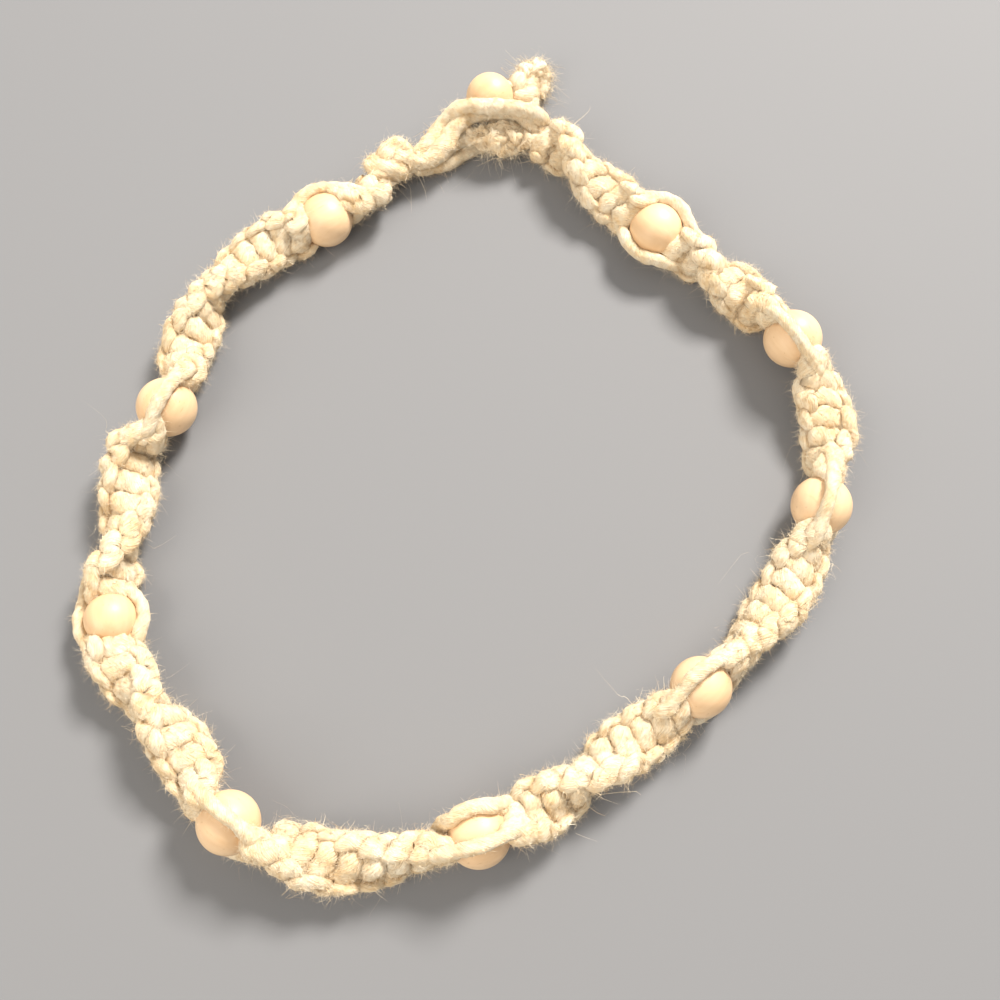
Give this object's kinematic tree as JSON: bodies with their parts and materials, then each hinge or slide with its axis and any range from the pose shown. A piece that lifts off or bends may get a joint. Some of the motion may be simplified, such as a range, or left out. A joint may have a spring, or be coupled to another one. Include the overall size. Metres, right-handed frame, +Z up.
{
  "type": "beaded hemp necklace",
  "caption": "Short hemp necklace lying in a closed loop: a spiral of half knots between round wooden beads, with a cord loop closed over a button bead and frayed cord ends.",
  "frame": {"origin": "middle of the underside of the necklace as it lies: the centre of its box in X and Y, on the surface in Z", "axes": "+Z up from the surface, +Y across the loop towards its closure, +X to the right seen from above with the closure at the far side"},
  "size_m": [0.1344, 0.1576, 0.0135],
  "materials": {
    "hemp": "matt natural hemp cord with loose fibres",
    "wood": "smooth pale turned wood with a thin satin wax"
  },
  "bodies": {
    "root": {"knots_01": "hemp", "knots_02": "hemp", "knots_03": "hemp", "knots_04": "hemp", "knots_05": "hemp", "knots_06": "hemp", "knots_07": "hemp", "knots_08": "hemp", "knots_09": "hemp", "knots_10": "hemp", "bead_01": "wood", "wrap_01_over": "hemp", "wrap_01_under": "hemp", "bead_02": "wood", "wrap_02_over": "hemp", "wrap_02_under": "hemp", "bead_03": "wood", "wrap_03_over": "hemp", "wrap_03_under": "hemp", "bead_04": "wood", "wrap_04_over": "hemp", "wrap_04_under": "hemp", "bead_05": "wood", "wrap_05_over": "hemp", "wrap_05_under": "hemp", "bead_06": "wood", "wrap_06_over": "hemp", "wrap_06_under": "hemp", "bead_07": "wood", "wrap_07_over": "hemp", "wrap_07_under": "hemp", "bead_08": "wood", "wrap_08_over": "hemp", "wrap_08_under": "hemp", "bead_09": "wood", "wrap_09_over": "hemp", "wrap_09_under": "hemp", "loop_knot": "hemp", "closure_cord_outer": "hemp", "closure_cord_inner": "hemp", "inner_knot": "hemp", "end_knot": "hemp", "frayed_ends": "hemp", "button_bead": "wood", "button_core_cord": "hemp", "button_side_cord": "hemp"}
  },
  "joints": []
}
